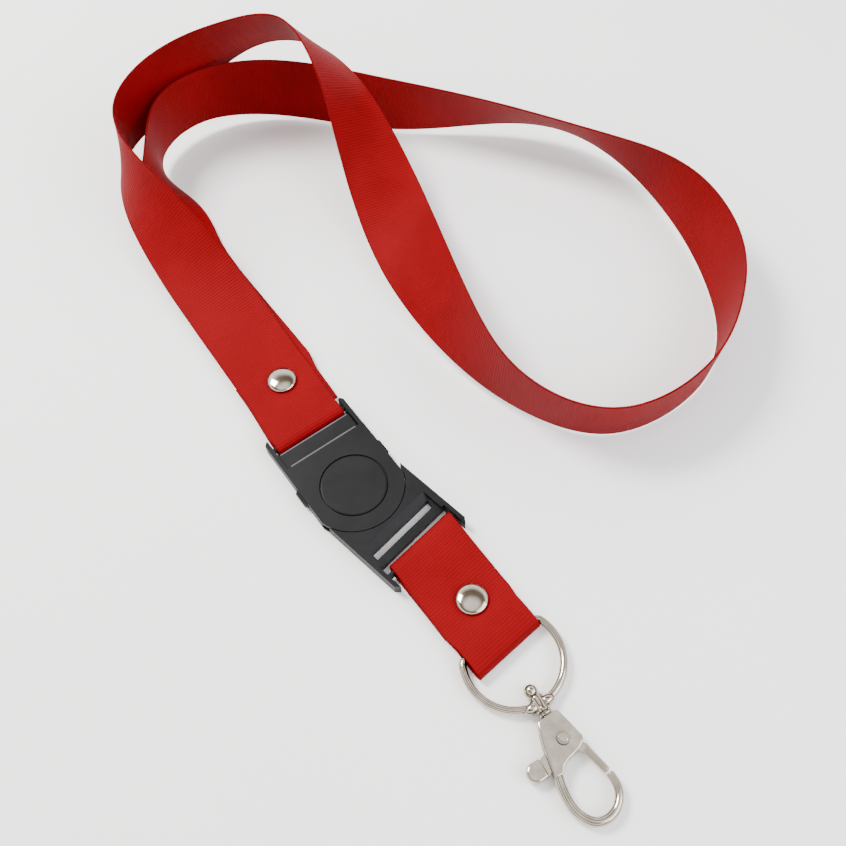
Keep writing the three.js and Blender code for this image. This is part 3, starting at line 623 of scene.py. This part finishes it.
def gate():
    bottom, top = SLOT_BOTTOM + 0.25, SLOT_TOP - 0.25
    link = [(12.2, 1.9), (12.9, -1.2), (15, 0.9), (17.3, 2.6), (17, 4.8), (15.3, 4.6)]
    piece("gate_link", *plate(link, bottom, top), "nickel", "gate", ["gate_lever"], HOOK, bevel=0.2)
    arm = [(9.4, -1.6), (11.9, -7.6), (11.9, -9.4), (17, -9.4), (16.6, -7.4), (13.2, -1.6)]
    piece("gate_arm", *plate(arm, bottom, top), "nickel", "gate", matrix=HOOK, bevel=0.25)
    hub = [(0, bottom), (2.1, bottom), (2.3, bottom + 0.1), (2.3, bottom + 0.4), (2.1, bottom + 0.5),
           (0, bottom + 0.5)]
    piece("gate_hub", *lathe(hub, "Z", 40, (*PIN, 0)), "nickel", "gate", matrix=HOOK)
    paddle = [(11.8, -8.6), (17.1, -8.8)] + arc(14.4, -11.2, 2.75, 10, -190, 22)
    piece("gate_thumb_tab", *plate(paddle, 0.9, 3.7), "nickel", "gate", matrix=HOOK, bevel=0.6)
    path = [(x, 3.75 + (x - 16.4) / 7.6 * 1.3) for x in np.linspace(16.4, 23.6, 26)]
    bar = flat_tube(path, lambda t: 1.1, lambda t: 1.3, WIRE_HEIGHT, cap=0.4)
    piece("gate_bar", *bar, "nickel", "gate", matrix=HOOK, smooth=60)


swivel_stem()
hook_body()
gate()


# ---------------------------------------------------------------- pieces kept from the frame
for name, finish, bevel in (
    ("housing_base", "plastic", 0.18), ("housing_top", "plastic", 0.28), ("badge_disc", "plastic", 0.1),
    ("male_buckle", "plastic", 0.22), ("pivot_core", "plastic", 0.15),
    ("left_release_lever", "pad", 0.25), ("right_release_lever", "pad", 0.25),
    ("left_lever_spring", "steel", 0.0), ("right_lever_spring", "steel", 0.0),
    ("gate_pin", "nickel", 0.08), ("gate_spring", "steel", 0.0),
):
    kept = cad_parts[name]
    kept.data.materials.clear()
    kept.data.materials.append(MATERIALS[finish])
    soften(kept, 32, bevel)


# ---------------------------------------------------------------- moulded detail on the housing
HOUSING = frame_at(HOUSING_HEADING, 0, 0)


def moulded_bar(name, start, end, half_length, bottom, top, finish, bevel):
    outline = [(start, -half_length), (end, -half_length), (end, half_length), (start, half_length)]
    piece(name, *plate(outline, bottom, top), finish, "root", matrix=HOUSING, bevel=bevel)


# The sunk ledge behind the strap bar, and the two moulded ridges on either side of it, made in a lighter grey
# plastic as a painted highlight on their lit faces.
moulded_bar("housing_ledge", 17.05, 23.3, 13.3, 1.9, 3.1, "plastic", 0.25)
moulded_bar("housing_ridge_front", 16.75, 17.3, 12.1, 4.0, 4.5, "ridge", 0.16)
moulded_bar("housing_ridge_back", 22.8, 23.3, 12.6, 2.9, 3.3, "ridge", 0.12)


# ---------------------------------------------------------------- floor and light
def floor():
    size, height = 1.6, -0.0002
    material = Nodes("floor")
    grain = material.noise(material.coords(), 12.0)
    tone = material.ramp(grain, [(0.2, (0.94, 0.94, 0.94)), (0.8, (0.97, 0.97, 0.97))])
    material.set(Base_Color=tone, Roughness=0.85)
    mesh = bpy.data.meshes.new("floor")
    corners = [(x, y, height) for x, y in ((-size, -size), (size, -size), (size, size), (-size, size))]
    mesh.from_pydata(corners, [], [(0, 1, 2, 3)])
    mesh.materials.append(material.material)
    obj = bpy.data.objects.new("floor", mesh)
    bpy.context.scene.collection.objects.link(obj)


def area_light(name, power, size, place, colour):
    data = bpy.data.lights.new(name, "AREA")
    data.energy = power
    data.size = size
    data.color = colour
    light = bpy.data.objects.new(name, data)
    light.location = place
    light.rotation_euler = (Vector((0.02, 0.05, 0)) - Vector(place)).to_track_quat("-Z", "Y").to_euler()
    bpy.context.scene.collection.objects.link(light)


floor()


def studio_world():
    """A bright sky with a dark, warm horizon and a darker ring above, for the plated pieces to mirror."""
    world = bpy.data.worlds.new("studio")
    world.use_nodes = True
    nodes, links = world.node_tree.nodes, world.node_tree.links
    direction = nodes.new("ShaderNodeSeparateXYZ")
    links.new(nodes.new("ShaderNodeTexCoord").outputs["Generated"], direction.inputs[0])
    ramp = nodes.new("ShaderNodeValToRGB")
    links.new(direction.outputs["Z"], ramp.inputs[0])
    stops = [(0.0, (0.05, 0.04, 0.03)), (0.22, (0.09, 0.065, 0.045)), (0.42, (1.7, 1.68, 1.64)),
             (0.66, (1.5, 1.5, 1.5)), (0.8, (0.22, 0.18, 0.14)), (0.9, (0.24, 0.2, 0.16)),
             (0.97, (1.3, 1.3, 1.32))]
    while len(ramp.color_ramp.elements) < len(stops):
        ramp.color_ramp.elements.new(0.5)
    for element, (position, colour) in zip(ramp.color_ramp.elements, stops):
        element.position = position
        element.color = (*colour, 1)
    links.new(ramp.outputs["Color"], nodes["Background"].inputs["Color"])
    nodes["Background"].inputs["Strength"].default_value = 1.5
    bpy.context.scene.world = world


studio_world()
area_light("key", 15.0, 0.3, (-0.45, 0.35, 0.75), (1.0, 0.97, 0.93))
area_light("fill", 8.0, 0.7, (0.6, -0.3, 0.6), (0.93, 0.96, 1.0))

bpy.context.view_layer.update()
